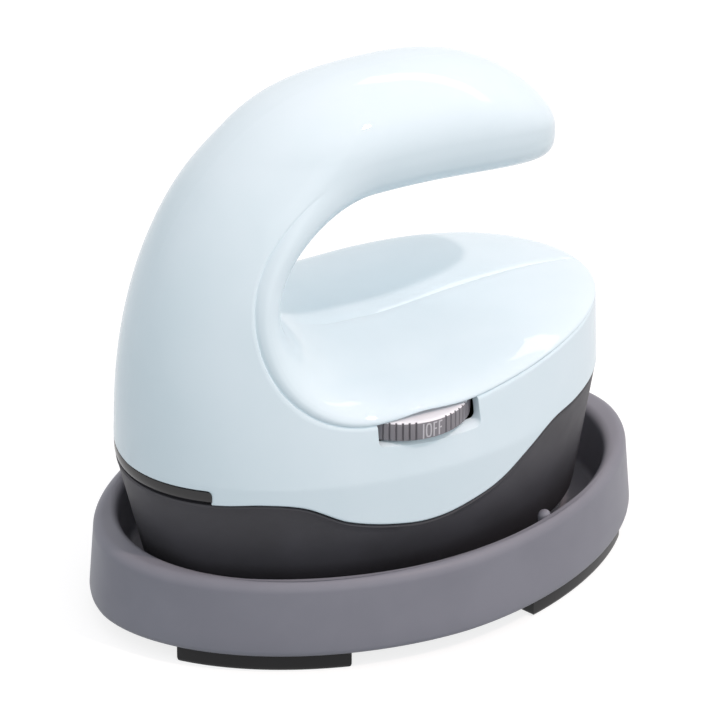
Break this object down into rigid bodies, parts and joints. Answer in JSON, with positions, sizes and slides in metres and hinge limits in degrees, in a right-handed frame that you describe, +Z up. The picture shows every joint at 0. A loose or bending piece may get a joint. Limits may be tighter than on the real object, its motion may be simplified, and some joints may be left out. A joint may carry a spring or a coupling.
{
  "type": "mini handheld heat press",
  "caption": "Small handheld heat press with an oval hot plate, a curved C-shaped handle and a side thumbwheel, resting in an oval stand.",
  "frame": {"origin": "on the table, under the middle of the stand", "axes": "+Z up; +X along the press towards the free tip of the handle; +Y to the left side of the press"},
  "size_m": [0.1388, 0.0958, 0.1275],
  "materials": {
    "shell_plastic": "very pale blue, glossy moulded",
    "skirt_plastic": "dark grey, fine-grained matte",
    "stand_plastic": "mid grey, satin moulded",
    "foot_rubber": "black, lightly polished",
    "pad_rubber": "black silicone",
    "gland_rubber": "black, satin",
    "trim_gloss": "black, glossy",
    "dial_plastic": "silver grey, satin metallic",
    "plate_metal": "smooth, lightly brushed",
    "element_sheath": "annealed sheath",
    "steel": "bright zinc",
    "shield_foil": "bright sheet",
    "insulation": "pressed mineral fibre",
    "sensor_body": "plain",
    "fuse_body": "plain",
    "board": "green solder resist",
    "relay_case": "blue moulded",
    "capacitor_case": "yellow moulded",
    "terminal_case": "green moulded",
    "black_plastic": "black moulded",
    "lead_sleeve": "woven glass sleeve"
  },
  "bodies": {
    "stand": {"stand_tray": "stand_plastic", "stand_feet": "foot_rubber", "rest_pads": "pad_rubber"},
    "press": {"soleplate": "plate_metal", "heating_element": "element_sheath", "element_straps": "steel", "strap_screws": "steel", "thermistor": "sensor_body", "thermal_fuse": "fuse_body", "insulation_pad": "insulation", "heat_shield": "shield_foil", "heat_skirt": "skirt_plastic", "plate_spacers": "steel", "plate_screws": "steel", "circuit_board": "board", "board_screws": "steel", "relay": "relay_case", "capacitor": "capacitor_case", "terminal_block": "terminal_case", "rotary_switch": "black_plastic", "heater_leads": "lead_sleeve", "shell_right": "shell_plastic", "shell_left": "shell_plastic", "shell_screws": "steel", "rear_trim": "trim_gloss", "cord_gland": "gland_rubber", "cord_clamp": "black_plastic", "clamp_screws": "steel"},
    "dial": {"dial_shaft": "steel", "dial_wheel": "dial_plastic"}
  },
  "joints": [
    {"name": "press_lift", "type": "slide", "parent": "stand", "child": "press", "axis": [0, 0, 1], "range_m": [0, 0.06]},
    {"name": "dial_turn", "type": "hinge", "parent": "press", "child": "dial", "pos_m": [-0.0049, -0.0251, 0.056], "axis": [0, 0, 1], "range_deg": [0, 240]}
  ]
}
